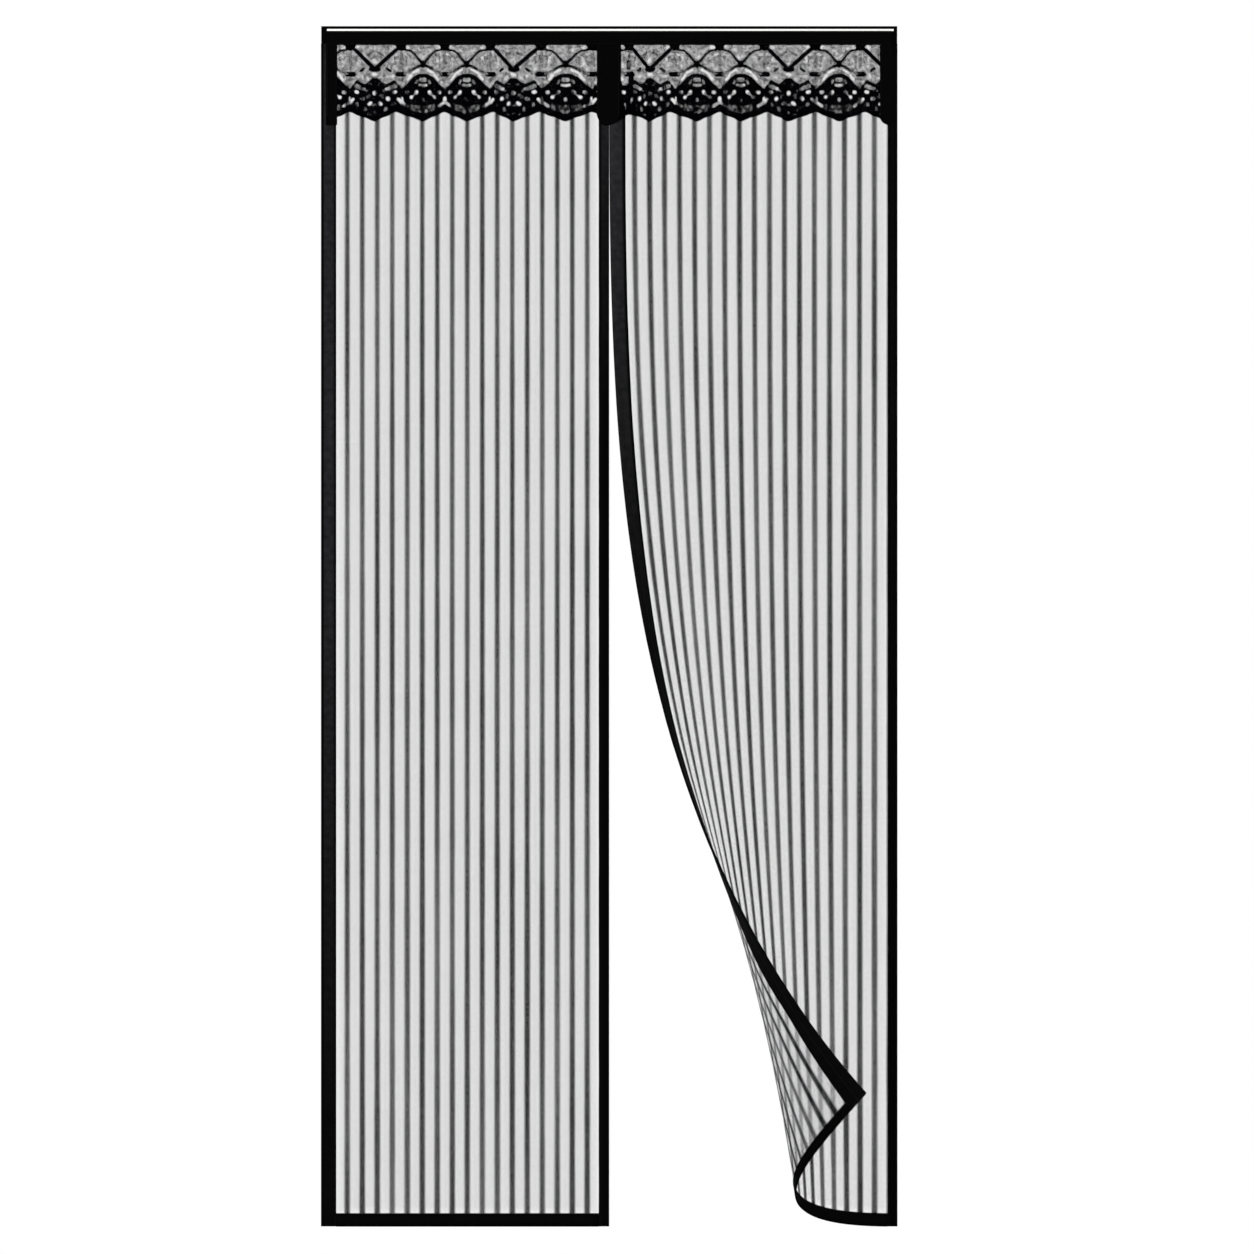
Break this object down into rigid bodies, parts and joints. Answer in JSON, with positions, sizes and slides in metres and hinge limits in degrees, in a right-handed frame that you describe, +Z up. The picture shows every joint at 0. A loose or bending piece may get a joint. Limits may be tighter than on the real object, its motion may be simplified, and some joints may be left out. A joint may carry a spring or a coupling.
{
  "type": "magnetic insect screen",
  "caption": "Two-panel striped mesh insect screen for a doorway, with a lace valance, bound edges and magnetic inner sleeves, one lower corner turned back.",
  "frame": {"origin": "centre of the back face of the top fixing tape, on the plane of the door frame", "axes": "+Z up the height of the screen, +Y into the door frame that it is fixed to, so the front faces -Y"},
  "size_m": [1.008, 0.3357, 2.1],
  "materials": {
    "mesh": "sheer knitted polyester with denser stripes",
    "tape": "matt woven polyester tape",
    "lace": "knitted openwork lace",
    "piping": "white polyester piping",
    "magnet": "flexible rubber-bonded magnet strip",
    "hook": "hook-and-loop tape"
  },
  "bodies": {
    "root": {"centre_cover": "tape", "header_band": "tape", "left_bottom_binding": "tape", "left_fixing_tape": "hook", "left_lace": "lace", "left_lace_side_tape": "tape", "left_magnet_01": "magnet", "left_magnet_02": "magnet", "left_magnet_03": "magnet", "left_magnet_04": "magnet", "left_magnet_05": "magnet", "left_magnet_06": "magnet", "left_magnet_07": "magnet", "left_magnet_08": "magnet", "left_magnet_09": "magnet", "left_magnet_10": "magnet", "left_magnet_11": "magnet", "left_magnet_sleeve": "tape", "left_mesh_panel": "mesh", "left_side_binding": "tape", "right_bottom_binding": "tape", "right_fixing_tape": "hook", "right_lace": "lace", "right_lace_side_tape": "tape", "right_magnet_01": "magnet", "right_magnet_02": "magnet", "right_magnet_03": "magnet", "right_magnet_04": "magnet", "right_magnet_05": "magnet", "right_magnet_06": "magnet", "right_magnet_07": "magnet", "right_magnet_08": "magnet", "right_magnet_09": "magnet", "right_magnet_10": "magnet", "right_magnet_11": "magnet", "right_magnet_sleeve": "tape", "right_mesh_panel": "mesh", "right_side_binding": "tape", "top_binding": "tape", "top_fixing_tape": "hook", "white_piping": "piping"}
  },
  "joints": []
}
